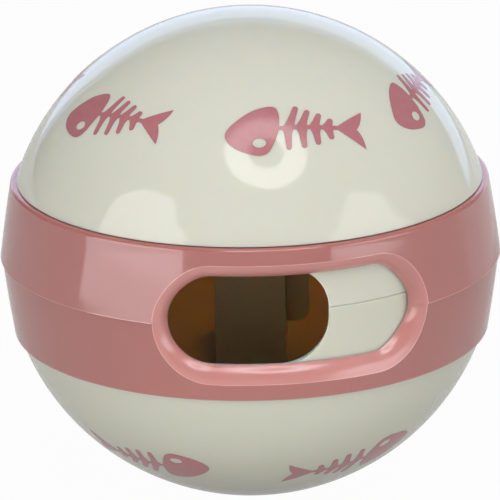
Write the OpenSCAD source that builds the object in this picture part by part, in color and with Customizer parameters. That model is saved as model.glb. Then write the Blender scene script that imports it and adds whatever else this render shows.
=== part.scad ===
// Treat dispensing ball: two half shells, plugged together at a centre post, with a
// turning ring between them. Its window makes the treat opening larger or smaller.
// The origin is the ball's centre, +Z is up, and the treat opening faces -Y.

/* [Ball] */
// Outer diameter of the two half shells
ball_d = 70; // [60:1:90]
// Wall thickness of the half shells
wall = 1.6; // [1.2:0.1:2.4]
// How far the seam between the half shells lies above the ball's middle
seam_rise = 1.3; // [0.5:0.1:2]
// Chamfer on each rim at the seam
rim_chamfer = 0.25; // [0.1:0.05:0.4]

/* [Treat opening] */
// Length of the treat opening in the half shells
opening_len = 23.1; // [18:0.1:26]
// Height of the opening's upper edge above the ball's middle
opening_up = 7.8; // [6:0.1:8.2]
// Depth of the opening's lower edge below the ball's middle
opening_down = 6.7; // [5:0.1:7.2]
// Corner radius of the opening in the upper shell
opening_up_r = 6.5; // [4:0.1:6.5]
// Corner radius of the opening in the lower shell
opening_down_r = 6.8; // [4:0.1:6.8]

/* [Adjusting ring] */
// Height of the ring's upper edge above its parting line
ring_up = 11; // [10.8:0.1:12]
// Depth of the ring's lower edge below its parting line
ring_down = 11.3; // [11:0.1:12.3]
// How far the ring stands out beyond the ball at its parting line
ring_proud = 0.6; // [0.3:0.1:1.2]
// How far the ring's seat lies below the edge of the lower dome
shoulder = 0.7; // [0.6:0.1:1]
// Radial clearance between the ring and its seat
ring_play = 0.2; // [0.15:0.01:0.3]
// Gap between each edge of the ring and the dome next to it
ring_end_gap = 0.12; // [0.1:0.01:0.2]
// Slope of the ring's outer face above and below the parting line, in degrees
ring_draft = 8.3; // [6:0.1:9]
// Step from the upper half to the lower half at the parting line
parting_step = 0.2; // [0.1:0.05:0.3]
// Rounding of the ring's upper and lower edges
edge_round = 0.5; // [0.2:0.05:0.6]

/* [Ring window] */
// Height of the window at the ring's inner face
window_h = 13.2; // [11:0.1:14]
// How much wider the rounded lip makes the window at the ring's outer face, on each side
lip_w = 2.3; // [1.5:0.1:2.5]
// Angle between the middles of the window's round ends
window_span = 40.4; // [30:0.1:50]
// How far the window's middle is turned past the treat opening's middle
window_turn = 12.2; // [0:0.1:30]
// Angle through which the lip rounds over before it meets the outer face
lip_sweep = 46; // [30:1:50]

/* [Centre post] */
// Width of the square post
post_w = 10.1; // [9:0.1:12]
// Wall thickness of the post
post_wall = 1.6; // [1.2:0.1:2]
// Gap between the end of the post and the floor of the lower shell
floor_gap = 1; // [0.5:0.1:2]
// How far the fin stands out from the post
fin_w = 3.2; // [2:0.1:4]
// Thickness of the fin
fin_t = 1.6; // [1.2:0.1:2.4]
// Depth of the fin's lower end below the ball's middle
fin_depth = 10.4; // [6:0.1:16]
// Corner radius at the fin's lower end
fin_round = 1.8; // [1:0.1:1.9]

/* [Spigot] */
// Height of the spigot above the lower shell's floor
spigot_len = 14; // [8:0.5:20]
// Thickness of the spigot's two crossed ribs
spigot_rib = 1.6; // [1.2:0.1:2.4]
// Clearance on each side between the spigot and the inside of the post
spigot_fit = 0.1; // [0.05:0.01:0.2]

/* [Hidden] */
$fn = 128;
cream = [0.84, 0.84, 0.79];
pale_cream = [0.87, 0.87, 0.82];
dusty_pink = [0.72, 0.48, 0.47];
// How far every cut runs past the face that it opens
overrun = 1;

ball_r = ball_d / 2;
inner_r = ball_r - wall;
groove_up = ring_up + ring_end_gap;
groove_down = ring_down + ring_end_gap;
groove_end = max(groove_up, groove_down);
land_r = sqrt(ball_r * ball_r - groove_end * groove_end) - shoulder;
land_in_r = land_r - wall;
// Height at which the seat's inside meets the dome's inside
land_top = sqrt(inner_r * inner_r - land_in_r * land_in_r);
ring_r = ball_r + ring_proud;
ring_in_r = land_r + ring_play;
post_in_w = post_w - 2 * post_wall;
spigot_w = post_in_w - 2 * spigot_fit;
post_corner_r = post_w / sqrt(2);
post_end = floor_gap - sqrt(inner_r * inner_r - post_corner_r * post_corner_r);
spigot_top = spigot_len - inner_r;

// Number of steps in a rounded edge of the ring, and in the window's lip
round_steps = 5;
lip_steps = 8;
// Straight part of the window's wall at the ring's inner face, before the lip's arc
lip_land = 0.1;
// Angle by which the lip's arc runs on past the outer face, to cut it cleanly, and the
// share of the lip's width that the cut has where it leaves the ring
lip_past = 6;
lip_end_share = 1.6;

// Half of the shell's section above groove_z, with the ring's seat below it down to rim_z
module half_section(groove_z, rim_z) {
    difference() {
        intersection() {
            circle(r = ball_r);
            translate([0, groove_z]) square([ball_r, ball_r]);
        }
        circle(r = inner_r);
    }
    polygon([
        [land_in_r, rim_z],
        [land_r - rim_chamfer, rim_z],
        [land_r, rim_z + rim_chamfer],
        [land_r, land_top],
        [land_in_r, land_top]
    ]);
}

// The straight opening along Y that both half shells share, with large round corners
module opening_cut() {
    up_x = opening_len / 2 - opening_up_r;
    up_z = opening_up - opening_up_r;
    down_x = opening_len / 2 - opening_down_r;
    down_z = opening_down_r - opening_down;
    rotate([90, 0, 0]) linear_extrude(height = ball_r) {
        translate([-up_x, up_z]) square([2 * up_x, opening_up_r]);
        translate([-opening_len / 2, down_z]) square([opening_len, up_z - down_z]);
        translate([-down_x, -opening_down]) square([2 * down_x, opening_down_r]);
        for (side = [-1, 1]) {
            translate([side * up_x, up_z]) circle(r = opening_up_r);
            translate([side * down_x, down_z]) circle(r = opening_down_r);
        }
    }
}

// What stands on a shell's inside is cut off in the middle of the wall
module within_wall() {
    intersection() {
        sphere(r = inner_r + wall / 2);
        children();
    }
}

// Fin beside the post, from the ceiling down to its rounded lower corner
module fin() {
    fin_x = (post_w - post_wall) / 2;
    fin_end_x = post_w / 2 + fin_w;
    translate([0, fin_t / 2, 0]) rotate([90, 0, 0]) linear_extrude(height = fin_t) {
        translate([fin_x, fin_round - fin_depth])
            square([fin_end_x - fin_x, ball_r + fin_depth - fin_round]);
        translate([fin_x, -fin_depth]) square([fin_end_x - fin_round - fin_x, 2 * fin_round]);
        translate([fin_end_x - fin_round, fin_round - fin_depth]) circle(r = fin_round);
    }
}

module centre_post() {
    post_len = ball_r - post_end;
    difference() {
        translate([-post_w / 2, -post_w / 2, post_end]) cube([post_w, post_w, post_len]);
        translate([-post_in_w / 2, -post_in_w / 2, post_end - overrun])
            cube([post_in_w, post_in_w, post_len + 2 * overrun]);
    }
    fin();
}

module upper_shell() {
    color(cream) {
        difference() {
            rotate_extrude() half_section(groove_up, seam_rise);
            opening_cut();
        }
        within_wall() centre_post();
    }
}

// Two crossed ribs that the post slides over
module spigot() {
    for (turn = [0, 90]) rotate([0, 0, turn])
        translate([-spigot_w / 2, -spigot_rib / 2, -ball_r])
            cube([spigot_w, spigot_rib, ball_r + spigot_top]);
}

module lower_shell() {
    color(pale_cream) {
        difference() {
            rotate_extrude() mirror([0, 1]) half_section(groove_down, -seam_rise);
            opening_cut();
        }
        within_wall() spigot();
    }
}

// Radius of the ring's outer face at height z
function ring_face_r(z) = z >= 0 ? ring_r - z * tan(ring_draft)
                                 : ring_r - parting_step + z * tan(ring_draft);

// Points on an arc of radius r about the point c, from angle a0 to angle a1
function arc(c, r, a0, a1, steps) =
    [for (i = [0 : steps]) let (a = a0 + (a1 - a0) * i / steps) c + r * [cos(a), sin(a)]];

// Section of the ring: drafted halves that step at the parting line, with rounded edges
module ring_section() {
    top_c = [ring_face_r(ring_up - edge_round) - edge_round / cos(ring_draft), ring_up - edge_round];
    low_c = [ring_face_r(edge_round - ring_down) - edge_round / cos(ring_draft), edge_round - ring_down];
    polygon(concat(
        [[ring_in_r, -ring_down]],
        arc(low_c, edge_round, -90, -ring_draft, round_steps),
        [[ring_face_r(0) - parting_step, 0], [ring_face_r(0), 0]],
        arc(top_c, edge_round, ring_draft, 90, round_steps),
        [[ring_in_r, ring_up]]
    ));
}

// Half of the window's section as [distance from the ball's axis, height]. It goes straight
// out through the inner face, then along the lip's arc to the crease and past it.
function window_half() =
    let (
        inner = [ring_in_r + lip_land, window_h / 2],
        crease = [ring_face_r(window_h / 2 + lip_w) - parting_step / 2, window_h / 2 + lip_w],
        chord = crease - inner,
        lean = atan2(chord[1], chord[0]),
        r = norm(chord) / 2 / sin(lip_sweep / 2),
        c = (inner + crease) / 2 + r * cos(lip_sweep / 2) * [-sin(lean), cos(lean)]
    )
    concat(
        [[ring_in_r - overrun, 0], [ring_in_r - overrun, window_h / 2]],
        arc(c, r, lean - 90 - lip_sweep / 2, lean - 90 + lip_sweep / 2 + lip_past, lip_steps),
        [[ring_r + overrun, window_h / 2 + lip_w * lip_end_share], [ring_r + overrun, 0]]
    );

// The window's cut: its section swept round the ball's axis, and turned about its own
// radial axis at each round end
module window_cut() {
    half = window_half();
    rotate([0, 0, -90 - window_span / 2]) rotate_extrude(angle = window_span) {
        polygon(half);
        mirror([0, 1]) polygon(half);
    }
    for (side = [-1, 1]) rotate([0, 0, side * window_span / 2]) rotate([90, 0, 0])
        rotate([0, 0, side * -90]) rotate_extrude(angle = 180) polygon([for (p = half) [p[1], p[0]]]);
}

module adjusting_ring() {
    color(dusty_pink) difference() {
        rotate_extrude() ring_section();
        rotate([0, 0, window_turn]) window_cut();
    }
}

lower_shell();
upper_shell();
adjusting_ring();
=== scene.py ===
"""Treat dispensing ball: two cream half shells, a dusty pink adjusting ring with a long window, and fish prints.

The packed CAD model is the frame. Each piece here is a surface worked out with numpy around it, in metres, in the
CAD's own axes: the origin is the ball's centre, +Z is up, and the treat opening faces -Y. An angle round the ball is
measured from -Y towards +X, and a side is +1 for the upper half and -1 for the lower half, so that a height in a
half is side * z.
"""

import math

import bmesh
import bpy
import numpy as np
from bpy.props import FloatProperty, FloatVectorProperty, PointerProperty
from mathutils import Matrix, Vector


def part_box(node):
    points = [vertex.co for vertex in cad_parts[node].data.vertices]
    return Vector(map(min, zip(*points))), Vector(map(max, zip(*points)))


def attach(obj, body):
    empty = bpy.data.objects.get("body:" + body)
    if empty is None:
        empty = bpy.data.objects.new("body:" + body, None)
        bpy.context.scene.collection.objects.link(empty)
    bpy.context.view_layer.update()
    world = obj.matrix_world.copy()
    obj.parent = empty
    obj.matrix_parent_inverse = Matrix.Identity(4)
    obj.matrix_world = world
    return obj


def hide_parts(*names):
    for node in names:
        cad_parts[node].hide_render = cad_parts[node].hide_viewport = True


bl_info = {
    "name": "Treat dispensing ball",
    "version": (1, 0, 0),
    "blender": (4, 5, 0),
    "location": "View3D > Sidebar > Treat ball",
    "description": "Dresses the packed treat ball: half shells, post, adjusting ring, fish prints and studio",
    "category": "Object",
}

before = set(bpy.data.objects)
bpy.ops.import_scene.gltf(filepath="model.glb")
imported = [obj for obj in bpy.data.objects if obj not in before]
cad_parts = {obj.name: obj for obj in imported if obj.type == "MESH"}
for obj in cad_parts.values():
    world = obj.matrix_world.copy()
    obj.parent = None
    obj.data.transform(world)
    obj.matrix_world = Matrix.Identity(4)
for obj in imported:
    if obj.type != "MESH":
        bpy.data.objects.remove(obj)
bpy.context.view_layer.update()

MM = 0.001
UPPER, LOWER = 1, -1
QUARTER, HALF_TURN, FULL_TURN = math.pi / 2, math.pi, 2 * math.pi

# The CAD's own measures, which the sizes below start from
BALL_R = round(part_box("upper_shell")[1].z, 5)
RING_R = round(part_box("adjusting_ring")[1].x, 5)
RING_TOP = round(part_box("adjusting_ring")[1].z, 5)
RING_BOTTOM = round(-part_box("adjusting_ring")[0].z, 5)


# ---- Sizes and colours that a user would change


def length(name, text, millimetres):
    return FloatProperty(name=name, description=text, default=millimetres * MM, unit="LENGTH", precision=4)


def angle(name, text, degrees):
    return FloatProperty(name=name, description=text, default=math.radians(degrees), subtype="ANGLE", unit="ROTATION")


def share(name, text, default, most=1.0):
    return FloatProperty(name=name, description=text, default=default, min=0, max=most, subtype="FACTOR")


def colour(name, text, red, green, blue):
    """A colour written as it is seen on screen, from 0 to 255, and kept as linear light."""
    seen = np.array((red, green, blue)) / 255
    linear = np.where(seen <= 0.04045, seen / 12.92, ((seen + 0.055) / 1.055) ** 2.4)
    return FloatVectorProperty(name=name, description=text, default=linear.tolist(), min=0, max=1, subtype="COLOR")


class ShellSizes(bpy.types.PropertyGroup):
    """Half shells and the treat opening that they share"""

    radius: length("Radius", "Outer radius of the two half shells", BALL_R / MM)
    wall: length("Wall", "Wall thickness of the half shells", 1.6)
    seam_rise: length("Seam rise", "How far the seam lies above the ball's middle", 1.3)
    seam_round: length("Seam rounding", "Rounding of each rim along the seam, on its outer side", 0.25)
    edge_round: length("Edge rounding", "Rounding of the domes' edges and of the opening's edges", 0.14)
    opening_length: length("Opening length", "Length of the treat opening", 23.1)
    opening_top: length("Opening top", "Height of the opening's upper edge above the ball's middle", 7.8)
    opening_bottom: length("Opening bottom", "Depth of the opening's lower edge below the ball's middle", 6.7)
    top_corner: length("Top corner", "Corner radius of the opening in the upper shell", 6.5)
    bottom_corner: length("Bottom corner", "Corner radius of the opening in the lower shell", 6.8)
    shoulder: length("Shoulder", "How far the ring's seat lies below the edge of the lower dome", 0.7)
    ring_gap: length("Ring gap", "Gap between each edge of the ring and the dome next to it", 0.12)


class RingSizes(bpy.types.PropertyGroup):
    """Adjusting ring and its window"""

    radius: length("Radius", "Outer radius of the ring at its parting line", RING_R / MM)
    top: length("Top", "Height of the ring's upper edge above its parting line", RING_TOP / MM)
    bottom: length("Bottom", "Depth of the ring's lower edge below its parting line", RING_BOTTOM / MM)
    play: length("Play", "Clearance between the ring and its seat", 0.2)
    draft: angle("Draft", "Slope of the outer face above and below the parting line", 8.3)
    step: length("Parting step", "Step from the upper half to the lower half at the parting line", 0.2)
    edge_round: length("Edge rounding", "Rounding of the ring's upper and lower edges", 0.5)
    window_turn: angle("Window turn", "How far the window's middle is turned past the treat opening's", 12.2)
    window_span: angle("Window span", "Angle between the middles of the window's round ends", 40.4)
    window_top: length("Window top", "Height of the window's inner edge above the parting line", 6.66)
    window_bottom: length("Window bottom", "Depth of the window's inner edge below the parting line", 6.2)
    window_left: length("Window left", "Reach of the window's left tip from the middle of that end", 6.62)
    window_right: length("Window right", "Reach of the window's right tip from the middle of that end", 6.35)
    crease_top: length("Crease top", "Height of the lip's crease above the parting line", 8.7)
    crease_bottom: length("Crease bottom", "Depth of the lip's crease below the parting line", 8.8)
    crease_left: length("Crease left", "Reach of the crease's left tip from the middle of that end", 8.4)
    crease_right: length("Crease right", "Reach of the crease's right tip from the middle of that end", 8.08)
    crown: length("Crown", "How far the outer face of each half bulges between its edges", 0.072)
    lip_sweep: angle("Lip sweep", "Angle through which the window's lip rounds over", 52)
    flash_width: length("Flash width", "Width of the raised line of flash at the crease and the parting line", 0.1)
    flash_height: length("Flash height", "Height of that line", 0.03)


class PostSizes(bpy.types.PropertyGroup):
    """Square centre post, its fin, and the spigot that it slides over"""

    width: length("Post width", "Width of the square post", 10.1)
    wall: length("Post wall", "Wall thickness of the post", 1.6)
    floor_gap: length("Floor gap", "Gap between the post's end and the lower shell's floor", 1)
    edge_round: length("Edge rounding", "Rounding of the post's edges", 0.35)
    fin_width: length("Fin width", "How far the fin stands out from the post", 3.2)
    fin_thickness: length("Fin thickness", "Thickness of the fin", 1.6)
    fin_depth: length("Fin depth", "Depth of the fin's lower end below the ball's middle", 10.4)
    fin_round: length("Fin corner", "Corner radius at the fin's lower end", 1.8)
    spigot_length: length("Spigot length", "Height of the spigot above the lower shell's floor", 14)
    spigot_rib: length("Spigot rib", "Thickness of the spigot's two crossed ribs", 1.6)
    spigot_fit: length("Spigot fit", "Clearance on each side between the spigot and the post", 0.1)


class PrintSizes(bpy.types.PropertyGroup):
    """Fish prints on the half shells"""

    latitude: angle("Latitude", "Angle of the middle of each row of prints above or below the ball's middle", 45.5)
    size: share("Size", "Size of the prints beside their drawing", 0.96, 2)
    ink_thickness: length("Ink thickness", "Thickness of the printed ink", 0.015)


class Finishes(bpy.types.PropertyGroup):
    """Colours and gloss of the plastics and the ink"""

    cream: colour("Cream", "Moulded cream plastic", 214, 215, 205)
    cream_shade: colour("Cream shade", "Slightly deeper cream that clouds the plastic", 208, 208, 194)
    # The lower half's cream and its clouds are darker, yellower copies of the upper's cream: painted shade and warm
    # light on the lower half, which is the same plastic.
    lower_cream_painted_shade: colour("Lower cream", "Moulded cream plastic of the lower half", 207, 208, 196)
    lower_clouds_painted_shade: colour("Lower cream shade", "Slightly deeper cream that clouds the lower half", 201, 202, 187)
    # The post's warmer cream is painted warm light: the post is the same cream plastic, tinted for the light that
    # reaches it through the walls.
    post_cream_painted_light: colour("Post cream", "Warmer cream of the centre post and its fin", 240, 199, 162)
    pink: colour("Dusty pink", "Moulded pink plastic of the ring", 179, 116, 112)
    pink_shade: colour("Pink shade", "Slightly deeper pink that clouds the plastic", 173, 109, 105)
    # The lip's colour is a lighter copy of the pink: painted light on the lip, which is the same pink plastic as the
    # rest of the ring.
    lip: colour("Lip", "Polished lip of the ring's window", 214, 154, 151)
    # The flash's paler colour is a painted highlight, glinting along the ring's crease and parting line.
    flash_and_glint: colour("Flash", "Pale line of flash along the ring's crease and parting line", 226, 178, 172)
    ink: colour("Ink", "Printed pink ink", 172, 100, 108)
    gloss: share("Cream roughness", "Roughness of the cream plastic", 0.07)
    pink_gloss: share("Pink roughness", "Roughness of the ring's pink plastic", 0.09)
    lip_gloss: share("Lip roughness", "Roughness of the lip round the window", 0.2)
    glow: share("Glow", "Share of the light on the plastic that soaks in", 1.0)


class Studio(bpy.types.PropertyGroup):
    """Camera and light"""

    camera_turn: angle("Camera angle", "Angle of the camera round the ball", 1.35)
    camera_rise: angle("Camera rise", "Angle of the camera above the ball's middle", 17.96)
    camera_roll: angle("Camera roll", "Angle by which the camera leans to its right", 0.82)
    camera_distance: length("Camera distance", "Distance of the camera from the ball's centre", 1332.3)
    camera_lens: FloatProperty(name="Lens", description="Focal length of the camera", default=672.6, unit="CAMERA")
    camera_aside: length("Aim", "How far to the left of the ball's centre the camera aims", 0.07)
    room: share("Room light", "Strength of the even light from the whole room", 0.13, 5)
    right: share("Right light", "Light that grows towards the room's right side", 0.33, 5)
    key_fill: share("Key fill", "Strength of the light round the ring lamp", 2.1, 20)
    front_fill: share("Front fill", "Strength of the soft light from the front", 0.6, 20)
    table: share("Table light", "Strength of the light from the table in front of the ball", 1.05, 20)
    left_softbox: share("Left softbox", "Strength of the left softbox", 2.8, 20)
    right_softbox: share("Right softbox", "Strength of the right softbox", 2.3, 20)
    ring_lamp: share("Ring lamp", "Strength of the ring lamp above", 4.5, 20)
    backdrop: share("Backdrop", "Strength of the lit backdrop behind the ball", 1.35, 20)
    pools: share("Light pools", "Strength of the pools of light on the floor that show in the gloss", 2.2, 20)
    floor: colour("Floor", "Pale studio floor", 170, 168, 162)


# ---- Mesh building


def polar(theta, radius, z):
    """Points at an angle round the ball's axis, a distance from the axis and a height."""
    theta, radius, z = np.broadcast_arrays(theta, radius, z)
    return np.stack([radius * np.sin(theta), -radius * np.cos(theta), z], axis=-1)


def bend(start, corner, end, steps):
    """A rounded corner as a quadratic curve from start to end that leaves and arrives towards the corner."""
    t = np.linspace(0, 1, steps)[:, None]
    start, corner, end = (np.asarray(p, float) for p in (start, corner, end))
    return (1 - t) ** 2 * start + 2 * t * (1 - t) * corner + t**2 * end


class Patch:
    """A grid of points, [rows, columns, 3], whose columns may close on themselves. Faces from the row inside_from on
    take the piece's second material, and marks says which points carry the ring's line of flash, on which a highlight
    is painted."""

    def __init__(self, points, around=False, marks=None, inside_from=None):
        self.points, self.around = np.asarray(points, float), around
        self.inside_from = len(self.points) if inside_from is None else inside_from
        self.marks = np.zeros(self.points.shape[:2]) if marks is None else np.asarray(marks, float)

    def quads(self, first):
        """The four corners of each face: a point, the next in its row, and the same two in the next row."""
        rows, columns = self.points.shape[:2]
        last = columns if self.around else columns - 1
        row, column = np.meshgrid(np.arange(rows - 1), np.arange(last), indexing="ij")
        after = (column + 1) % columns
        here, below = row * columns, (row + 1) * columns
        corners = [here + column, here + after, below + after, below + column]
        return first + np.stack(corners, axis=-1).reshape(-1, 4)

    def finishes(self):
        """Which of the piece's materials each face takes."""
        columns = self.points.shape[1] - (0 if self.around else 1)
        return np.repeat(np.arange(len(self.points) - 1) >= self.inside_from, columns).astype(int)


WELD = 0.0005 * MM
# Edges that turn by more than this stay sharp
SHARP, RING_SHARP, PRINT_SHARP = math.radians(15), math.radians(11.5), math.radians(40)


def piece(name, patches, materials, body, slot, closed=True, crisp=SHARP):
    """One mesh from patches that meet edge to edge. Points that fall together are welded, so that a row drawn to a
    point is a pole, and faces point outwards. Edges sharper than crisp stay sharp."""
    firsts = np.cumsum([0] + [p.points[..., 0].size for p in patches])
    mesh = bpy.data.meshes.new(name)
    mesh.from_pydata(
        np.concatenate([p.points.reshape(-1, 3) for p in patches]),
        [],
        np.concatenate([p.quads(first) for p, first in zip(patches, firsts)]),
    )
    mesh.polygons.foreach_set("material_index", np.concatenate([p.finishes() for p in patches]))
    # The attribute marks the ring's line of flash, where its material paints a paler highlight.
    flash_and_glint = mesh.attributes.new("flash_and_glint", "FLOAT", "POINT")
    flash_and_glint.data.foreach_set("value", np.concatenate([p.marks.ravel() for p in patches]))
    shape = bmesh.new()
    shape.from_mesh(mesh)
    bmesh.ops.remove_doubles(shape, verts=shape.verts, dist=WELD)
    bmesh.ops.recalc_face_normals(shape, faces=shape.faces)
    if closed and any(not e.is_manifold for e in shape.edges):
        raise RuntimeError(f"{name} isn't closed")
    shape.to_mesh(mesh)
    shape.free()
    mesh.shade_smooth()
    mesh.set_sharp_from_angle(angle=crisp)
    for material in materials:
        mesh.materials.append(material)
    made = bpy.data.objects.new(name, mesh)
    bpy.context.scene.collection.objects.link(made)
    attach(made, body)
    return made


def ring_edge(ring, side):
    """How far the ring's edge in this half lies from its parting line."""
    return ring.top if side == UPPER else ring.bottom


def seat_radius(shell, ring):
    """The ring's seat lies below the edge of the dome whose edge is the nearer to the axis."""
    groove = max(ring.top, ring.bottom) + shell.ring_gap
    return math.sqrt(shell.radius**2 - groove**2) - shell.shoulder


# ---- Half shells

END_COLUMNS, TOP_COLUMNS, BACK_COLUMNS = 26, 18, 250
DOME_ROWS, INNER_ROWS, SEAT_ROWS, EDGE_ROWS = 56, 40, 9, 6


def rim(sizes, side, radius, grow, seam_grow):
    """Angle and height of a half shell's rim at one distance from the axis, for each column.

    The columns start where the seam meets the right end of the opening, climb its straight end and its corner
    (x = the corner's middle + its radius * cos(turn), height = its middle + its radius * sin(turn)), cross to the
    left, come down that end and follow the seam round the back. The angle is asin(x / radius), because the opening
    is cut straight through along Y. grow widens the opening, and seam_grow draws the seam's rim back."""
    if side == UPPER:
        edge, corner = sizes.opening_top, sizes.top_corner
    else:
        edge, corner = sizes.opening_bottom, sizes.bottom_corner
    middle, seam = edge - corner, side * sizes.seam_rise + seam_grow
    straight = sizes.opening_length / 2 - corner
    corner += grow
    rise, first = max(middle - seam, 0), math.asin(max(seam - middle, 0) / corner)
    along = np.linspace(0, rise + corner * (QUARTER - first), END_COLUMNS)
    turn = first + np.clip(along - rise, 0, None) / corner
    x_end = straight + corner * np.cos(turn)
    h_end = np.where(along < rise, seam + along, middle + corner * np.sin(turn))
    x_top = np.linspace(straight, -straight, TOP_COLUMNS + 2)[1:-1]
    theta = np.arcsin(np.concatenate([x_end, x_top, -x_end[::-1]]) / radius)
    back = np.linspace(theta[-1], theta[0] - FULL_TURN, BACK_COLUMNS + 2)[1:-1]
    height = np.concatenate([h_end, np.full(TOP_COLUMNS, middle + corner), h_end[::-1], np.full(BACK_COLUMNS, seam)])
    return np.concatenate([theta, back]), height


def half_shell(sizes, ring, side):
    """A half shell's wall as one grid of columns round the axis, with rows from the outer pole down the dome, in
    over the shoulder, down the ring's seat, round the rim and up the inside to the inner pole.

    A dome row has radius R * cos(latitude) and height R * sin(latitude). Seat rows pass in even shares from the
    dome's even columns to the rim's own angles and heights. The rim's edges are quarter rounds."""
    groove = ring_edge(ring, side) + sizes.ring_gap
    dome_edge = math.sqrt(sizes.radius**2 - groove**2)
    seat = seat_radius(sizes, ring)
    seat_in, inner = seat - sizes.wall, sizes.radius - sizes.wall
    seat_top = math.sqrt(inner**2 - seat_in**2)
    front = 2 * END_COLUMNS + TOP_COLUMNS
    theta_rim = rim(sizes, side, seat, 0, 0)[0]
    even = np.concatenate([np.linspace(theta_rim[0], theta_rim[front - 1], front), theta_rim[front:]])

    rows = []

    def row(theta, radius, height):
        rows.append(polar(theta, radius, side * height))

    lowest = math.asin(groove / sizes.radius) + sizes.edge_round / sizes.radius
    for latitude in np.linspace(QUARTER, lowest, DOME_ROWS):
        row(even, sizes.radius * math.cos(latitude), sizes.radius * math.sin(latitude))
    edge_start = sizes.radius * math.cos(lowest), sizes.radius * math.sin(lowest)
    for radius, height in bend(edge_start, (dome_edge, groove), (dome_edge - sizes.edge_round, groove), EDGE_ROWS)[1:]:
        row(even, radius, height)

    theta_rim, h_rim = rim(sizes, side, seat, sizes.edge_round, sizes.seam_round)
    for along in np.linspace(0, 1, SEAT_ROWS):
        row(even + (theta_rim - even) * along, seat, groove + (h_rim - groove) * along)
    rounding = np.where(np.arange(len(even)) < front, sizes.edge_round, sizes.seam_round)
    for turn in np.linspace(0, QUARTER, EDGE_ROWS)[1:]:
        left = 1 - math.sin(turn)
        radius = seat - (1 - math.cos(turn)) * rounding
        theta, height = rim(sizes, side, seat, sizes.edge_round * left, sizes.seam_round * left)
        row(theta, radius, height)
    inside_from = len(rows) - EDGE_ROWS // 2
    for turn in np.linspace(QUARTER, 0, EDGE_ROWS):
        left = 1 - math.sin(turn)
        radius = seat_in + (1 - math.cos(turn)) * sizes.edge_round
        theta, height = rim(sizes, side, radius, sizes.edge_round * left, sizes.edge_round * left)
        row(theta, radius, height)
    for along in np.linspace(0, 1, SEAT_ROWS)[1:]:
        row(theta + (even - theta) * along, seat_in, height + (seat_top - height) * along)
    for latitude in np.linspace(math.asin(seat_top / inner), QUARTER, INNER_ROWS)[1:]:
        row(even, inner * math.cos(latitude), inner * math.sin(latitude))
    return Patch(rows, around=True, inside_from=inside_from)


# ---- Centre post, fin and spigot

CORNER_STEPS = 5
FIN_ROWS, FIN_CORNER_ROWS, FIN_COLUMNS = 12, 10, 5
FIN_BEVEL_STEPS, FIN_BEVEL_FROM = 3, math.radians(50)


def square_loop(half, corner):
    """Points round a square with rounded corners: each corner's middle plus corner * (cos(turn), sin(turn))."""
    turn = np.linspace(0, QUARTER, CORNER_STEPS)
    quarters = []
    for quarter in range(4):
        start = quarter * QUARTER
        diagonal = start + QUARTER / 2
        middle = math.sqrt(2) * (half - corner) * np.array((math.cos(diagonal), math.sin(diagonal)))
        quarters.append(middle + corner * np.stack([np.cos(start + turn), np.sin(start + turn)], axis=-1))
    return np.concatenate(quarters)


def in_wall(shell, loop, side):
    """The loop carried to the middle of the shell's wall, where what stands on the wall begins."""
    middle = shell.radius - shell.wall / 2
    return np.column_stack([loop, side * np.sqrt(middle**2 - (loop**2).sum(axis=1))])


def at_height(loop, z):
    return np.column_stack([loop, np.full(len(loop), z)])


def post_tube(sizes, shell):
    """The hollow square post: rows of square loops from the ceiling down its outside, round its open end and up its
    inside, back to the ceiling."""
    half, corner = sizes.width / 2, sizes.edge_round
    inner_r = shell.radius - shell.wall
    end = sizes.floor_gap - math.sqrt(inner_r**2 - 2 * half**2)
    outer, inner = square_loop(half, corner), square_loop(half - sizes.wall, corner / 2)
    rows = [in_wall(shell, outer, UPPER)]
    for turn in np.linspace(0, QUARTER, EDGE_ROWS):
        inset = corner * (1 - math.cos(turn))
        rows.append(at_height(square_loop(half - inset, corner), end + corner * (1 - math.sin(turn))))
    for turn in np.linspace(QUARTER, 0, EDGE_ROWS):
        rows.append(at_height(square_loop(half - sizes.wall + corner / 2 * (1 - math.cos(turn)), corner / 2),
                              end + corner / 2 * (1 - math.sin(turn))))
    rows += [in_wall(shell, inner, UPPER), rows[0]]
    return Patch(rows, around=True)


def fin_plate(sizes, shell):
    """The fin's middle plane, from inside the post's wall to its free edge: straight down from the ceiling, then
    round the corner, whose points are its middle plus radius * (cos(turn), -sin(turn))."""
    root = (sizes.width - sizes.wall) / 2
    edge = sizes.width / 2 + sizes.fin_width
    corner = sizes.fin_round
    top = math.sqrt((shell.radius - shell.wall / 2) ** 2 - edge**2)
    turn = np.linspace(0, QUARTER, FIN_CORNER_ROWS)[1:]
    straight_end = corner - sizes.fin_depth
    z = np.concatenate([np.linspace(top, straight_end, FIN_ROWS), straight_end - corner * np.sin(turn)])
    right = np.concatenate([np.full(FIN_ROWS, edge), edge - corner + corner * np.cos(turn)])
    x = root + np.linspace(0, 1, FIN_COLUMNS) * (right - root)[:, None]
    return Patch(np.stack([x, np.zeros_like(x), np.broadcast_to(z[:, None], x.shape)], axis=-1))


def spigot_cross(sizes, shell):
    """The spigot's two crossed ribs as one cross-shaped outline, from the floor up to a rounded top. The outline
    turns through its 12 corners, and its end faces draw in to the middle."""
    arm = sizes.width / 2 - sizes.wall - sizes.spigot_fit
    rib, top = sizes.spigot_rib / 2, sizes.spigot_length - (shell.radius - shell.wall)
    round_off = sizes.edge_round / 2
    quarter = np.array([(arm, -rib), (arm, rib), (rib, rib)])
    turns = [np.array([[math.cos(a), -math.sin(a)], [math.sin(a), math.cos(a)]]) for a in np.arange(4) * QUARTER]
    outline = np.concatenate([quarter @ turn.T for turn in turns])
    floor = in_wall(shell, outline, LOWER)
    middle = np.zeros((len(outline), 2))
    inset = round_off * np.sign(outline)
    rows = [in_wall(shell, middle, LOWER), floor, at_height(outline, top - round_off),
            at_height(outline - inset, top), at_height(middle, top)]
    return Patch(rows, around=True)


# ---- Adjusting ring

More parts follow.
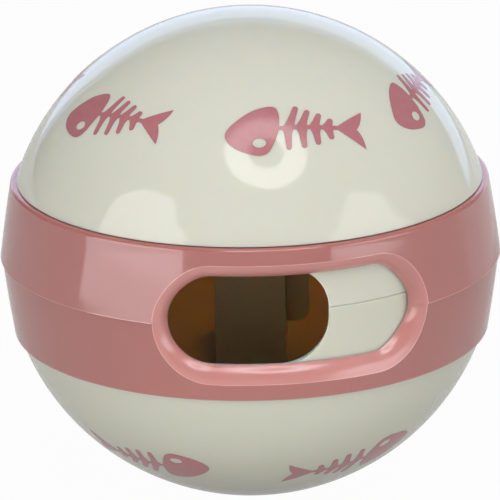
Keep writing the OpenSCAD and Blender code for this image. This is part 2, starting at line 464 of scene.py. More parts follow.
RING_END, RING_STRAIGHT, RING_BACK = 22, 26, 230
FACE_ROWS, RING_ROUND, LIP_ROWS, INNER_WALL_ROWS = 9, 9, 12, 6
# The lip's last row before the crease, as a share of its arc
LIP_LAST = 0.96

# How much the round ends draw in at their diagonals, at the left and the right end of each half
INNER_SQUEEZE = {UPPER: (0.036, 0.07), LOWER: (0.0, 0.087)}
CREASE_SQUEEZE = {UPPER: (0.045, 0.02), LOWER: (0.0, 0.0)}


def face_radius(sizes, side, height):
    """The ring's outer face: its radius falls with the height in each half, by the tangent of the draft, and bulges
    by 4 * crown * share * (1 - share) of that half's height. The lower half is set back by the parting step."""
    step = sizes.step if side == LOWER else 0
    share_up = height / ring_edge(sizes, side)
    return sizes.radius - step - height * math.tan(sizes.draft) + 4 * sizes.crown * share_up * (1 - share_up)


def window_reach(top, ends, squeeze):
    """How far a line round one half of the window lies from its middle line, for each column from the left tip over
    the top to the right tip. With turn going from 180 to 90 degrees, it passes from the tip's reach to the top's by
    sin(turn) squared, and draws in by squeeze * sin(2 * turn) squared."""
    turn = np.linspace(HALF_TURN, QUARTER, RING_END)
    left, right = ((end + (top - end) * np.sin(turn) ** 2) * (1 - draw * np.sin(2 * turn) ** 2)
                   for end, draw in zip(ends, squeeze))
    return np.concatenate([left, np.full(RING_STRAIGHT, top), right[::-1]])


def inner_reach(sizes, side):
    top = sizes.window_top if side == UPPER else sizes.window_bottom
    return window_reach(top, (sizes.window_left, sizes.window_right), INNER_SQUEEZE[side])


def crease_reach(sizes, side):
    top = sizes.crease_top if side == UPPER else sizes.crease_bottom
    return window_reach(top, (sizes.crease_left, sizes.crease_right), CREASE_SQUEEZE[side])


def window_line(sizes, radius, reach):
    """Angle and height of a line round one half of the window: the angle at an end is asin(reach * cos(turn) /
    radius) past the end's middle, and the height is reach * sin(turn)."""
    turn = np.linspace(HALF_TURN, QUARTER, RING_END)
    turn = np.concatenate([turn, np.full(RING_STRAIGHT, QUARTER), HALF_TURN - turn[::-1]])
    half_span = sizes.window_span / 2
    middle = np.linspace(-half_span, half_span, RING_STRAIGHT + 2)
    middle = np.concatenate([np.full(RING_END, -half_span), middle[1:-1], np.full(RING_END, half_span)])
    return sizes.window_turn + middle + np.arcsin(reach * np.cos(turn) / radius), reach * np.sin(turn)


def crease_line(sizes, side, past=0.0):
    """The window's crease on the outer face, moved outwards by past. Its radius follows its own height."""
    radius = np.full(2 * RING_END + RING_STRAIGHT, sizes.radius)
    for _ in range(3):
        theta, height = window_line(sizes, radius, crease_reach(sizes, side) + past)
        radius = face_radius(sizes, side, height)
    return theta, height, radius


def ring_half(sizes, shell, side):
    """One half of the ring as two grids: the outer face with the rounded edge, end face and inner wall, and the
    window's lip. Both halves have the same columns: those of the window first, then those round the back.

    The lip's section is an arc of lip_sweep over the chord from the inner edge to the crease. With b from minus half
    of the sweep to plus half of it, the share along the chord is (sin b + sin half) / (2 sin half), and the share
    out from it is (cos b - cos half) / (2 sin half)."""
    inner = seat_radius(shell, sizes) + sizes.play
    edge = ring_edge(sizes, side)
    window = 2 * RING_END + RING_STRAIGHT
    theta_c, h_c, r_c = crease_line(sizes, side)
    theta_in, h_in = window_line(sizes, np.full(window, inner), inner_reach(sizes, side))

    def round_back(theta, height, radius):
        """Adds the columns round the back, from the right tip on to the left tip, at the parting line's height."""
        back = np.linspace(theta[-1], theta[0] + FULL_TURN, RING_BACK + 2)[1:-1]
        height, radius = (np.concatenate([line, np.full(RING_BACK, line[0])]) for line in (height, radius))
        return np.concatenate([theta, back]), height, radius

    rows, marks = [], []

    def row(theta, radius, height, mark=0.0):
        rows.append(polar(theta, radius, side * height))
        marks.append(np.full(window + RING_BACK, mark))

    theta, height, radius = round_back(theta_c, h_c, r_c)
    even = np.concatenate([np.linspace(theta_c[0], theta_c[-1], window), theta[window:]])
    ridge = sizes.flash_height
    row(theta, radius + ridge, height, 1.0)
    theta, height, radius = round_back(*crease_line(sizes, side, sizes.flash_width))
    height = np.maximum(height, sizes.flash_width)
    row(theta, face_radius(sizes, side, height), height)
    round_start = edge - sizes.edge_round
    for along in np.linspace(0, 1, FACE_ROWS)[1:]:
        level = height + (round_start - height) * along
        row(theta + (even - theta) * along, face_radius(sizes, side, level), level)
    round_middle = face_radius(sizes, side, round_start) - sizes.edge_round
    for turn in np.linspace(0, QUARTER, RING_ROUND)[1:]:
        row(even, round_middle + sizes.edge_round * math.cos(turn), round_start + sizes.edge_round * math.sin(turn))
    row(even, inner + shell.edge_round, edge)
    row(even, inner, edge - shell.edge_round)
    top = edge - shell.edge_round
    theta, height, _ = round_back(theta_in, h_in, np.full(window, inner))
    for along in np.linspace(0, 1, INNER_WALL_ROWS)[1:]:
        row(even + (theta - even) * along, inner, top + (height - top) * along)
    outside = Patch(rows, around=True, marks=marks)

    half = sizes.lip_sweep / 2
    steps = np.append(np.linspace(0, 1, LIP_ROWS)[:-1], (LIP_LAST, 1.0))
    bow = half * (2 * steps - 1)
    along = (np.sin(bow) + math.sin(half)) / (2 * math.sin(half))
    out = (np.cos(bow) - math.cos(half)) / (2 * math.sin(half))
    near = inner_reach(sizes, side)
    wide, deep = crease_reach(sizes, side) - near, r_c - inner
    lip = []
    for a, o in zip(along, out):
        level = inner + deep * a + wide * o
        lip.append((*window_line(sizes, level, near + wide * a - deep * o), level))
    lip[-1] = (theta_c, h_c, r_c + ridge)
    points = np.stack([polar(t, r, side * h) for t, h, r in lip])
    lip_marks = np.broadcast_to((steps == 1)[:, None], points.shape[:2])
    return outside, Patch(points, marks=lip_marks, inside_from=0)


def ring_patches(sizes, shell):
    """Both halves of the ring, the step along the parting line, and the slivers that close the step at the window's
    two tips."""
    (outer_up, lip_up), (outer_low, lip_low) = (ring_half(sizes, shell, side) for side in (UPPER, LOWER))
    window = 2 * RING_END + RING_STRAIGHT
    around = np.append(np.arange(window - 1, window + RING_BACK), 0)
    step = np.stack([outer_up.points[0, around], outer_low.points[0, around]])
    tips = [Patch(np.stack([lip_up.points[:, tip], lip_low.points[:, tip]])) for tip in (0, -1)]
    return [outer_up, lip_up, outer_low, lip_low, Patch(step, marks=np.ones(step.shape[:2])), *tips]


# ---- Fish prints, drawn in millimetres with the spine along x, the head at the left and the tail at the right

HEAD = ((-9.45, -0.5), (-8.4, 1.15), (-5.3, 3.05), (-2.4, 3.6), (-1.5, 2.6), (-1.7, 0.1), (-2.7, -2.3), (-3.85, -3.8),
        (-5.6, -3.95), (-8.3, -2.5))
EYE, EYE_SIZE = (-4.77, -2.1), (0.95, 0.72)
SPINE, SPINE_HALF = (-1.75, 6.95), 0.33
RIBS = (((-0.2, 1.22, 3.42), (1.6, 2.8, 2.8), (3.5, 4.4, 2.24), (5.45, 6.0, 1.42)),
        ((-0.5, -0.72, -3.5), (1.55, 1.55, -3.3), (3.5, 3.65, -2.8), (5.45, 5.8, -1.87)))
RIB_HALF, RIB_TIP_HALF, RIB_FLARE, RIB_ROOT = 0.58, 0.37, 0.22, 0.35
TAIL_ROOT, TAIL_NOTCH = 6.9, 9.75
TAIL_TIP, TAIL_FRONT, TAIL_BACK = (10.9, 3.05), (8.3, 1.35), (10.75, 1.15)
# Points and rows in each part of the drawing
HEAD_STEPS, HEAD_ROWS, SPINE_COLUMNS, RIB_ROWS, RIB_TIP_ROWS = 7, 7, 24, 11, 6
TAIL_ROWS, TAIL_MIDDLE_STEPS, TAIL_BACK_STEPS = 6, 6, 9
# Each fish's place in degrees: round the ball, beside its row's latitude, and turned from the level, and its scale
UPPER_ROW = ((-116, 0, 4, 1), (-52.3, 0, 10.5, 1), (15.55, 1.1, -3.3, 1.04), (74.7, 0.6, 6.7, 1), (132, 0, -4, 1),
             (190, 0, 5, 1))
LOWER_ROW = ((-106, 0, 184, 1), (-33.9, 0, 177.1, 1), (37.4, -0.6, 194, 1), (109, 0, 181, 1), (180.5, 0, 188, 1))


def smooth_loop(points, steps):
    """A closed line through the points: between two of them, the Catmull-Rom cubic of them and their neighbours."""
    p = np.asarray(points, float)
    before, after, beyond = (np.roll(p, shift, axis=0)[:, None] for shift in (1, -1, -2))
    here, t = p[:, None], np.linspace(0, 1, steps, endpoint=False)[None, :, None]
    line = 2 * here + (after - before) * t + (2 * before - 5 * here + 4 * after - beyond) * t**2
    return ((line + (3 * here - before - 3 * after + beyond) * t**3) / 2).reshape(-1, 2)


def fish_head():
    """Rows from the eye's ellipse out to the head's outline, in even shares, along lines from the eye's middle."""
    outline = smooth_loop(HEAD, HEAD_STEPS)
    away = outline - np.array(EYE)
    turn = np.arctan2(away[:, 1], away[:, 0])
    eye = np.array(EYE) + np.array(EYE_SIZE) * np.column_stack([np.cos(turn), np.sin(turn)])
    return [eye + (outline - eye) * s for s in np.linspace(0, 1, HEAD_ROWS)], True


def fish_spine():
    """A strip along x."""
    x = np.linspace(*SPINE, SPINE_COLUMNS)
    return [np.column_stack([x, np.full_like(x, v * SPINE_HALF)]) for v in (-1, 0, 1)], False


def fish_rib(base_x, tip_x, tip_y):
    """A rib from the spine's edge to its tip, whose width falls evenly and closes as a half round. Near its root it
    flares, and its cross line turns from square to the rib until it lies along the spine."""
    base = np.array((base_x, math.copysign(SPINE_HALF, tip_y)))
    axis = np.array((tip_x, tip_y)) - base
    reach = np.hypot(*axis)
    across = np.array((axis[1], -axis[0])) / math.copysign(reach, tip_y)
    tip = RIB_TIP_HALF / reach
    straight = np.linspace(0, 1 - tip, RIB_ROWS)
    along = np.concatenate([straight, 1 - tip + tip * np.sin(np.linspace(0, QUARTER, RIB_TIP_ROWS))[1:]])
    cap = np.sqrt(np.clip(1 - (np.clip(along - 1 + tip, 0, None) / tip) ** 2, 0, 1))
    root = np.clip(1 - along / RIB_ROOT, 0, 1) ** 2
    half = (RIB_HALF + (RIB_TIP_HALF - RIB_HALF) * along) * cap + RIB_FLARE * root
    cross = np.outer(1 - root, across) + np.outer(root, (1, 0))
    return [base + np.outer(along, axis) + v * half[:, None] * cross for v in (-1, 0, 1)], False


def fish_tail_lobe(way):
    """One lobe of the tail: rows from its front edge, a quadratic curve from the spine's edge out to the tip, to the
    middle line and the back edge, which is a quadratic curve from the notch out to the tip."""
    front = bend((TAIL_ROOT, SPINE_HALF), TAIL_FRONT, TAIL_TIP, TAIL_MIDDLE_STEPS + TAIL_BACK_STEPS)
    middle = np.linspace((TAIL_ROOT, 0), (TAIL_NOTCH, 0), TAIL_MIDDLE_STEPS + 1)[:-1]
    back = np.concatenate([middle, bend((TAIL_NOTCH, 0), TAIL_BACK, TAIL_TIP, TAIL_BACK_STEPS)])
    return [(front + (back - front) * s) * np.array((1, way)) for s in np.linspace(0, 1, TAIL_ROWS)], False


def onto_ball(flat, radius, theta, latitude, lean):
    """A flat drawing laid on the ball from its place: a point at distance d in a direction goes to the end of the
    great circle's arc of length d that starts in that direction, so that the drawing isn't stretched."""
    out = np.array((math.sin(theta) * math.cos(latitude), -math.cos(theta) * math.cos(latitude), math.sin(latitude)))
    east = np.array((math.cos(theta), math.sin(theta), 0))
    north = np.cross(out, east)
    along = math.cos(lean) * east + math.sin(lean) * north
    across = np.cross(out, along)
    distance = np.hypot(flat[..., 0], flat[..., 1])
    reach = radius * np.sinc(distance / radius / math.pi) / radius
    return (radius * np.cos(distance / radius)[..., None] * out + (reach * flat[..., 0])[..., None] * along
            + (reach * flat[..., 1])[..., None] * across)


INK_SUNK, INK_LIFT = 0.03 * MM, 0.002 * MM


def fish_prints(prints, shell, side, row):
    """Every fish of one half, laid on the ball at each place of the row. A part of the drawing is a thin solid: its
    upper face, its lower face just inside the plastic, and the walls between them. Each part lies a trace higher
    than the one before, so that no two share a face."""
    parts = [fish_head(), fish_spine(), fish_tail_lobe(1), fish_tail_lobe(-1)]
    parts += [fish_rib(*rib) for ribs in RIBS for rib in ribs]
    patches = []
    for theta, rise, lean, scale in row:
        for level, (rows, around) in enumerate(parts):
            place = math.radians(theta), side * prints.latitude + math.radians(rise), math.radians(lean)
            flat, lift = np.stack(rows) * MM * prints.size * scale, level * INK_LIFT
            heights = prints.ink_thickness + lift, lift - INK_SUNK
            top, bottom = (onto_ball(flat, shell.radius + height, *place) for height in heights)
            patches.append(Patch(np.concatenate([top, bottom[::-1], top[:1]]), around=around))
            if not around:
                patches += [Patch(np.stack([top[:, end], bottom[:, end]])) for end in (0, -1)]
    return patches


# ---- Materials


class Wire:
    """One output of a node. Arithmetic on it adds Math nodes, and add() brings in any other node."""

    def __init__(self, tree, socket=None):
        self.tree, self.socket = tree, socket

    def add(self, kind, settings=None, sockets=None, output=0):
        """A new node: its settings are set first, then its sockets take values or other wires."""
        node = self.tree.nodes.new(kind)
        for name, value in (settings or {}).items():
            setattr(node, name, value)
        for name, value in (sockets or {}).items():
            if isinstance(value, Wire):
                self.tree.links.new(value.socket, node.inputs[name])
            else:
                node.inputs[name].default_value = value
        return Wire(self.tree, node.outputs[output] if node.outputs else None)

    def maths(self, operation, first, second):
        return self.add("ShaderNodeMath", {"operation": operation}, {0: first, 1: second})

    def __add__(self, other):
        return self.maths("ADD", self, other)

    def __sub__(self, other):
        return self.maths("SUBTRACT", self, other)

    def __rsub__(self, other):
        return self.maths("SUBTRACT", other, self)

    def __mul__(self, other):
        return self.maths("MULTIPLY", self, other)

    __radd__, __rmul__ = __add__, __mul__

    def most(self, other):
        return self.maths("MAXIMUM", self, other)

    def mixed(self, first, second):
        """A colour from first to second, as this wire goes from 0 to 1."""
        colours = {"Factor": self, 6: first, 7: second}
        return self.add("ShaderNodeMix", {"data_type": "RGBA"}, colours, output=2)

    def noise(self, size, detail=2.0):
        """Even noise from 0 to 1 on this wire's coordinates, whose clouds are about size across."""
        return self.add("ShaderNodeTexNoise", sockets={"Vector": self, "Scale": 1 / size, "Detail": detail})


def opaque(rgb):
    return (*rgb, 1.0)


def new_tree(owner):
    owner.use_nodes = True
    owner.node_tree.nodes.clear()
    return Wire(owner.node_tree)


CLOUD, WAVE, GRAIN = 22 * MM, 9 * MM, 0.7 * MM
WAVE_DEPTH, GRAIN_DEPTH = 0.004 * MM, 0.0006 * MM
ROUGHNESS_SWING = 0.03
# The painted highlight along the line of flash: its faintest part as a share of its strongest, and the size of its
# clouds
GLINT_LEAST, GLINT_CLOUD = 0.35, 3 * MM
# The ink: how much of it covers where it is thin, how much of the print is thin, its clouds, and its duller gloss
INK_COVER, INK_THIN, INK_CLOUD, INK_DULLER = 0.7, 0.35, 1.2 * MM, 0.06
CREAM_IOR, PINK_IOR = 1.5, 1.8


def plastic_surface(net, place, base, roughness, soak_radius, glow, ior=CREAM_IOR):
    """Glossy moulded plastic: a faint waviness and an even finer grain in its gloss, and light that soaks in."""
    height = place.noise(WAVE) * WAVE_DEPTH + place.noise(GRAIN) * GRAIN_DEPTH
    normal = net.add("ShaderNodeBump", sockets={"Height": height, "Distance": 1.0, "Strength": 1.0})
    sockets = {"Base Color": base, "Roughness": roughness, "IOR": ior, "Normal": normal,
               "Subsurface Weight": glow, "Subsurface Radius": soak_radius, "Subsurface Scale": MM}
    return net.add("ShaderNodeBsdfPrincipled", sockets=sockets)


CREAM_SOAK, CREAM_INSIDE_SOAK, PINK_SOAK = (1.0, 0.8, 0.6), (5.6, 2.5, 1.2), (0.8, 0.5, 0.4)


def cream_plastic(name, looks, main, deeper, soak=CREAM_SOAK):
    """Cream plastic, clouded a little with a deeper shade."""
    material = bpy.data.materials.new(name)
    net = new_tree(material)
    place = net.add("ShaderNodeTexCoord", output="Object")
    clouds = place.noise(CLOUD, 3.0)
    base = clouds.mixed(opaque(main), opaque(deeper))
    roughness = looks.gloss + (place.noise(WAVE) - 0.5) * ROUGHNESS_SWING
    surface = plastic_surface(net, place, base, roughness, soak, looks.glow)
    net.add("ShaderNodeOutputMaterial", sockets={"Surface": surface})
    return material


def pink_plastic(name, looks, main, deeper, roughness):
    """Dusty pink plastic, clouded a little with a deeper shade, and with a painted highlight, paler in patches, along
    the line of flash, where the mesh's own attribute marks it."""
    material = bpy.data.materials.new(name)
    net = new_tree(material)
    place = net.add("ShaderNodeTexCoord", output="Object")
    base = place.noise(CLOUD, 3.0).mixed(opaque(main), opaque(deeper))
    # Painted highlight: paler in patchy glints along the line of flash.
    flash_and_glint = net.add("ShaderNodeAttribute", {"attribute_name": "flash_and_glint"}, output="Fac")
    paler_glint = flash_and_glint * (GLINT_LEAST + (1 - GLINT_LEAST) * place.noise(GLINT_CLOUD))
    base = paler_glint.mixed(base, opaque(looks.flash_and_glint))
    roughness = roughness + (place.noise(WAVE) - 0.5) * ROUGHNESS_SWING
    surface = plastic_surface(net, place, base, roughness, PINK_SOAK, looks.glow, PINK_IOR)
    net.add("ShaderNodeOutputMaterial", sockets={"Surface": surface})
    return material


def printed_ink(name, looks):
    """Pad-printed ink: even, a little less glossy than the plastic, with a fine unevenness in its cover."""
    material = bpy.data.materials.new(name)
    net = new_tree(material)
    place = net.add("ShaderNodeTexCoord", output="Object")
    thin = tuple(INK_COVER * i + (1 - INK_COVER) * c for i, c in zip(looks.ink, looks.cream))
    cover = place.noise(INK_CLOUD, 4.0)
    base = (cover * INK_THIN).mixed(opaque(looks.ink), opaque(thin))
    roughness = looks.gloss + INK_DULLER + cover * ROUGHNESS_SWING
    bump = net.add("ShaderNodeBump", sockets={"Height": cover * GRAIN_DEPTH, "Distance": 1.0, "Strength": 1.0})
    surface = net.add("ShaderNodeBsdfPrincipled", sockets={"Base Color": base, "Roughness": roughness, "Normal": bump,
                                                           "IOR": CREAM_IOR})
    net.add("ShaderNodeOutputMaterial", sockets={"Surface": surface})
    return material


def seen_white(net, glossy):
    """1 on rays from the camera or through a surface, glossy on rays off a surface, and 0 on the light that falls on
    things."""
    rays = "Camera", "Glossy", "Transmission"
    camera, off, through = (net.add("ShaderNodeLightPath", output=f"Is {ray} Ray") for ray in rays)
    return camera.most(through).most(off * glossy)


# ---- Operators


class TREATBALL_OT_upper_shell(bpy.types.Operator):
    """Builds the upper half shell with the centre post and fin that hang from its ceiling"""

    bl_idname = "treatball.upper_shell"
    bl_label = "Upper half shell"

    def execute(self, context):
        scene = context.scene
        looks, shell, post = scene.treatball_finishes, scene.treatball_shell, scene.treatball_post
        creams = looks.cream, looks.cream_shade
        outside = cream_plastic("cream_plastic_upper", looks, *creams)
        inside = cream_plastic("cream_plastic_upper_inside", looks, *creams, CREAM_INSIDE_SOAK)
        # The post and fin take the warmer copy of the cream: painted warm light inside the ball.
        post_painted_light = cream_plastic("cream_plastic_post_painted_light", looks, looks.post_cream_painted_light, looks.post_cream_painted_light, CREAM_INSIDE_SOAK)
        belongs = "upper_half", "cream_plastic_upper"
        dome = piece("upper_half_shell", [half_shell(shell, scene.treatball_ring, UPPER)], [outside, inside], *belongs)
        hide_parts("upper_shell")
        piece("centre_post", [post_tube(post, shell)], [post_painted_light], *belongs)
        fin = piece("post_fin", [fin_plate(post, shell)], [post_painted_light], *belongs, closed=False)
        thick = fin.modifiers.new("thickness", "SOLIDIFY")
        thick.thickness, thick.offset = post.fin_thickness, 0
        edges = fin.modifiers.new("edges", "BEVEL")
        edges.width, edges.segments, edges.harden_normals = post.edge_round, FIN_BEVEL_STEPS, True
        edges.limit_method, edges.angle_limit = "ANGLE", FIN_BEVEL_FROM
        return {"FINISHED"}


class TREATBALL_OT_lower_shell(bpy.types.Operator):
    """Builds the lower half shell with the spigot that stands on its floor"""

    bl_idname = "treatball.lower_shell"
    bl_label = "Lower half shell"

    def execute(self, context):
        scene = context.scene
        looks, shell, post = scene.treatball_finishes, scene.treatball_shell, scene.treatball_post
        # The lower half's outside takes the darker copy of the cream, which is painted shade; its inside takes the
        # upper's own cream.
        outside = cream_plastic("cream_plastic_lower", looks, looks.lower_cream_painted_shade, looks.lower_clouds_painted_shade)
        inside = cream_plastic("cream_plastic_lower_inside", looks, looks.cream, looks.cream_shade, CREAM_INSIDE_SOAK)
        belongs = "lower_half", "cream_plastic_lower"
        dome = piece("lower_half_shell", [half_shell(shell, scene.treatball_ring, LOWER)], [outside, inside], *belongs)
        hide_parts("lower_shell")
        piece("spigot", [spigot_cross(post, shell)], [inside], *belongs)
        return {"FINISHED"}


class TREATBALL_OT_ring(bpy.types.Operator):
    """Builds the adjusting ring with its window and lip"""

    bl_idname = "treatball.ring"
    bl_label = "Adjusting ring"

    def execute(self, context):
        scene = context.scene
        looks = scene.treatball_finishes
        # The lip's material takes the lighter copy of the pink: painted light on the window's lip.
        plastic = [pink_plastic("dusty_pink_plastic", looks, looks.pink, looks.pink_shade, looks.pink_gloss),
                   pink_plastic("dusty_pink_plastic_lip_painted_light", looks, looks.lip, looks.pink, looks.lip_gloss)]
        patches = ring_patches(scene.treatball_ring, scene.treatball_shell)
        ring = piece("window_ring", patches, plastic, "ring", "dusty_pink_plastic", crisp=RING_SHARP)
        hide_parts("adjusting_ring")
        return {"FINISHED"}


class TREATBALL_OT_prints(bpy.types.Operator):
    """Prints a row of fish skeletons on each half shell"""

    bl_idname = "treatball.prints"
    bl_label = "Fish prints"

    def execute(self, context):
        scene = context.scene
        ink = [printed_ink("pink_ink", scene.treatball_finishes)]
        rows = ("upper_prints", UPPER, UPPER_ROW, "upper_half"), ("lower_prints", LOWER, LOWER_ROW, "lower_half")
        for name, side, row, body in rows:
            patches = fish_prints(scene.treatball_prints, scene.treatball_shell, side, row)
            piece(name, patches, ink, body, "pink_ink", crisp=PRINT_SHARP)
        return {"FINISHED"}


def facing(patch, theta, latitude, distance):
    """A flat drawing moved to its place round the ball, where it faces the ball. Its x runs to the right and its y
    upwards, as seen from behind it."""
    out = Vector(polar(theta, math.cos(latitude), math.sin(latitude)))
    side = Vector((0, 0, 1)).cross(out).normalized()
    axes = np.array((side, out.cross(side), out))
    return Patch(patch.points @ axes + np.array(out) * distance, around=patch.around)


def lamp(name, patch, strength, tint=(1, 1, 1), lights=True, shows=True):
    """A glowing face, unseen by the camera, that lights the ball, shows in its gloss, or both."""
    mesh = bpy.data.meshes.new(name)
    mesh.from_pydata(patch.points.reshape(-1, 3), [], patch.quads(0))
    material = bpy.data.materials.new(name)
    net = new_tree(material)
    glow = net.add("ShaderNodeEmission", sockets={"Color": opaque(tint), "Strength": strength})
    net.add("ShaderNodeOutputMaterial", sockets={"Surface": glow})
    mesh.materials.append(material)
    made = bpy.data.objects.new(name, mesh)
    made.visible_camera, made.visible_diffuse, made.visible_glossy = False, lights, shows
    bpy.context.scene.collection.objects.link(made)


LAMP_DISTANCE = 0.9
# Each lamp's angle round the ball and above its middle, in degrees
LEFT_PLACE, RIGHT_PLACE, RING_PLACE = (-58, 3), (58, 8), (16.8, 62.6)
# Radii of the ring lamp, and how far the panels behind another lamp stand, as shares of the lamps' distance
RING_LAMP, BEHIND_RING_LAMP, BEHIND = (0.315, 0.133), 1.05, 1.02
# The table light lies just above the floor, this far below the ball's middle, and faces up with a slight tilt
TABLE_RISE, TABLE_DROP = -89.5, 34 * MM
# How bright the backdrop's edge is beside the backdrop, and the right pool beside the left one
EDGE_SHARE, RIGHT_POOL_SHARE = 0.5, 0.36
# Half of the floor's width in metres, and how white it is to rays off a surface and to all rays that see it white
FLOOR_REACH, FLOOR_GLOSS, FLOOR_WHITE = 4, 0.5, 0.97
POOL_STEPS, CIRCLE_STEPS = 12, 64
# Flat panels as rows of left end and right end, each as its place across and up from the panel's middle, in shares
# of the lamps' distance. The softboxes' corners are cut off.
LEFT_BOX = ((-0.39, -0.24, 0.58, -0.2), (-0.335, -0.1, 0.54, -0.06), (-0.325, 0.29, 0.515, 0.29),
            (-0.3, 0.42, 0.505, 0.42), (-0.285, 0.45, 0.385, 0.45), (-0.12, 0.6, 0.33, 0.6),
            (-0.024, 0.645, 0.25, 0.69))
RIGHT_BOX = ((-0.36, -0.15, 0.42, -0.215), (-0.33, 0.105, 0.478, 0.105), (-0.3, 0.2, 0.326, 0.2),
             (-0.28, 0.225, 0.327, 0.225), (-0.16, 0.285, 0.335, 0.285), (-0.13, 0.33, 0.343, 0.33),
             (-0.1, 0.39, 0.28, 0.39), (0.0, 0.478, 0.02, 0.478))
KEY_FILL = ((-0.5, -0.45, 0.5, -0.45), (-0.5, 0.45, 0.5, 0.45))
FRONT_FILL = ((-0.62, -0.15, 0.62, -0.15), (-0.62, 0.25, 0.62, 0.25))
TABLE = ((-0.08, 0.04, 0.08, 0.04), (-0.14, 0.36, 0.14, 0.36))
BACKDROP = ((-1.1, -0.4, 0.52, -0.4), (-1.0, 0.04, 0.51, 0.04), (-0.68, 0.2, 0.5, 0.27), (-0.44, 0.36, 0.4, 0.36),
            (-0.2, 0.42, 0.2, 0.42))
BACKDROP_EDGE = ((-0.7, -0.5, 0.7, -0.5), (-0.6, 0.4, 0.6, 0.4), (-0.4, 0.52, 0.4, 0.52), (-0.15, 0.6, 0.15, 0.6))
COOL, WARM = (0.85, 1.0, 1.3), (1.0, 1.0, 0.95)
# Pools of light on the floor, as the angles of their ends round the ball and their nearest and furthest distance
LEFT_POOL, RIGHT_POOL = (-79, -31, 0.3, 0.9), (112, 165, 0.15, 0.6)


def panel(rows):
    points = [[(left, left_up, 0), (right, right_up, 0)] for left, left_up, right, right_up in rows]
    return Patch(np.array(points) * LAMP_DISTANCE)


def pool(first, last, near, far, ground):
    """A part of a flat ring on the floor."""
    turn = np.radians(np.linspace(first, last, POOL_STEPS))
    return Patch(np.stack([polar(turn, near, ground), polar(turn, far, ground)]))


def annulus(outer, inner):
    """Points round two circles."""
    turn = np.linspace(0, FULL_TURN, CIRCLE_STEPS, endpoint=False)
    circle = np.column_stack([np.cos(turn), np.sin(turn), np.zeros_like(turn)])
    return Patch(np.stack([circle * outer, circle * inner]), around=True)


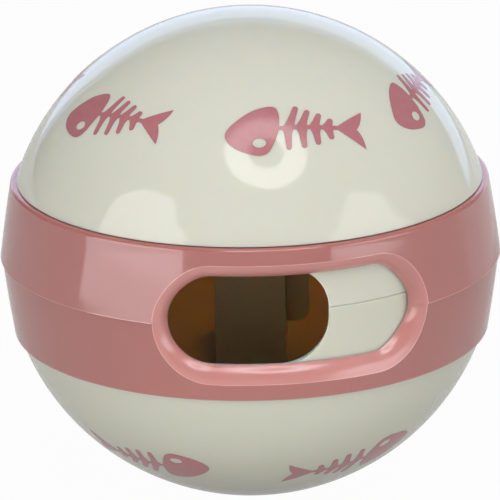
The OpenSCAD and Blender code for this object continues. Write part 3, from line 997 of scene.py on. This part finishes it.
class TREATBALL_OT_stage(bpy.types.Operator):
    """Sets up the pale floor, the white room, the lamps and the camera"""

    bl_idname = "treatball.stage"
    bl_label = "Studio"

    def execute(self, context):
        scene = context.scene
        studio = scene.treatball_studio
        scene.view_settings.view_transform = "Standard"

        across = np.linspace(-FLOOR_REACH, FLOOR_REACH, 3)
        x, y = np.meshgrid(across, across)
        ground = Patch(np.stack([x, y, np.full_like(x, -scene.treatball_shell.radius)], axis=-1))
        mesh = bpy.data.meshes.new("floor")
        mesh.from_pydata(ground.points.reshape(-1, 3), [], ground.quads(0))
        floor = bpy.data.objects.new("floor", mesh)
        scene.collection.objects.link(floor)
        material = bpy.data.materials.new("pale_floor")
        net = new_tree(material)
        painted = net.add("ShaderNodeBsdfDiffuse", sockets={"Color": opaque(studio.floor)})
        white = net.add("ShaderNodeEmission", sockets={"Color": (1, 1, 1, 1), "Strength": 1.0})
        seen = seen_white(net, FLOOR_GLOSS) * FLOOR_WHITE
        surface = net.add("ShaderNodeMixShader", sockets={0: seen, 1: painted, 2: white})
        net.add("ShaderNodeOutputMaterial", sockets={"Surface": surface})
        mesh.materials.append(material)

        world = bpy.data.worlds.new("white_room")
        scene.world = world
        net = new_tree(world)
        way = net.add("ShaderNodeTexCoord", output="Generated")
        x = net.add("ShaderNodeSeparateXYZ", sockets={0: way})
        level = studio.room + studio.right * x.most(0)
        white = seen_white(net, 0.0)
        level = level * (1 - white) + white
        room = net.add("ShaderNodeBackground", sockets={"Color": (1, 1, 1, 1), "Strength": level})
        net.add("ShaderNodeOutputWorld", sockets={"Surface": room})

        near, far, front = LAMP_DISTANCE, BEHIND * LAMP_DISTANCE, studio.camera_turn
        opposite = HALF_TURN + front
        left, right, above = ([math.radians(a) for a in place] for place in (LEFT_PLACE, RIGHT_PLACE, RING_PLACE))
        lamp("left_softbox", facing(panel(LEFT_BOX), *left, near), studio.left_softbox)
        lamp("right_softbox", facing(panel(RIGHT_BOX), *right, near), studio.right_softbox)
        lamp("ring_lamp", facing(annulus(*(r * near for r in RING_LAMP)), *above, near), studio.ring_lamp)
        lamp("key_fill", facing(panel(KEY_FILL), *above, BEHIND_RING_LAMP * near), studio.key_fill, shows=False)
        lamp("front_fill", facing(panel(FRONT_FILL), front, 0, far), studio.front_fill)
        table = facing(panel(TABLE), front, math.radians(TABLE_RISE), TABLE_DROP)
        lamp("table_light", table, studio.table, WARM, shows=False)
        lamp("backdrop", facing(panel(BACKDROP), opposite, 0, near), studio.backdrop, COOL)
        lamp("backdrop_edge", facing(panel(BACKDROP_EDGE), opposite, 0, far), EDGE_SHARE * studio.backdrop, COOL)
        ground = MM - scene.treatball_shell.radius
        lamp("left_pool", pool(*LEFT_POOL, ground), studio.pools, lights=False)
        lamp("right_pool", pool(*RIGHT_POOL, ground), RIGHT_POOL_SHARE * studio.pools, lights=False)

        turn, rise, roll = studio.camera_turn, studio.camera_rise, studio.camera_roll
        back = Vector(polar(turn, math.cos(rise), math.sin(rise)))
        level = Vector((0, 0, 1)).cross(back).normalized()
        upright = back.cross(level)
        right = math.cos(roll) * level - math.sin(roll) * upright
        up = math.cos(roll) * upright + math.sin(roll) * level
        camera = bpy.data.objects.new("camera", bpy.data.cameras.new("camera"))
        camera.data.lens, camera.data.clip_start, camera.data.clip_end = studio.camera_lens, 0.05, 20
        place = back * studio.camera_distance - right * studio.camera_aside
        camera.matrix_world = Matrix.Translation(place) @ Matrix((right, up, back)).transposed().to_4x4()
        scene.collection.objects.link(camera)
        scene.camera = camera
        return {"FINISHED"}


GROUPS = {
    "treatball_shell": ShellSizes,
    "treatball_ring": RingSizes,
    "treatball_post": PostSizes,
    "treatball_prints": PrintSizes,
    "treatball_finishes": Finishes,
    "treatball_studio": Studio,
}
OPERATORS = (TREATBALL_OT_upper_shell, TREATBALL_OT_lower_shell, TREATBALL_OT_ring, TREATBALL_OT_prints,
             TREATBALL_OT_stage)


class TREATBALL_PT_panel(bpy.types.Panel):
    """Lists the ball's sizes, finishes and pieces"""

    bl_idname = "TREATBALL_PT_panel"
    bl_label = "Treat ball"
    bl_space_type = "VIEW_3D"
    bl_region_type = "UI"
    bl_category = "Treat ball"

    def draw(self, context):
        for operator in OPERATORS:
            self.layout.operator(operator.bl_idname)
        for name, group in GROUPS.items():
            box = self.layout.box()
            box.label(text=group.__doc__)
            for prop in group.__annotations__:
                box.prop(getattr(context.scene, name), prop)


CLASSES = (*GROUPS.values(), *OPERATORS, TREATBALL_PT_panel)


def register():
    for cls in CLASSES:
        bpy.utils.register_class(cls)
    for name, group in GROUPS.items():
        setattr(bpy.types.Scene, name, PointerProperty(type=group))


def unregister():
    for name in GROUPS:
        delattr(bpy.types.Scene, name)
    for cls in reversed(CLASSES):
        bpy.utils.unregister_class(cls)


def main():
    register()
    for build in (bpy.ops.treatball.upper_shell, bpy.ops.treatball.lower_shell, bpy.ops.treatball.ring,
                  bpy.ops.treatball.prints, bpy.ops.treatball.stage):
        build()
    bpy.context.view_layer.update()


if __name__ == "__main__":
    main()
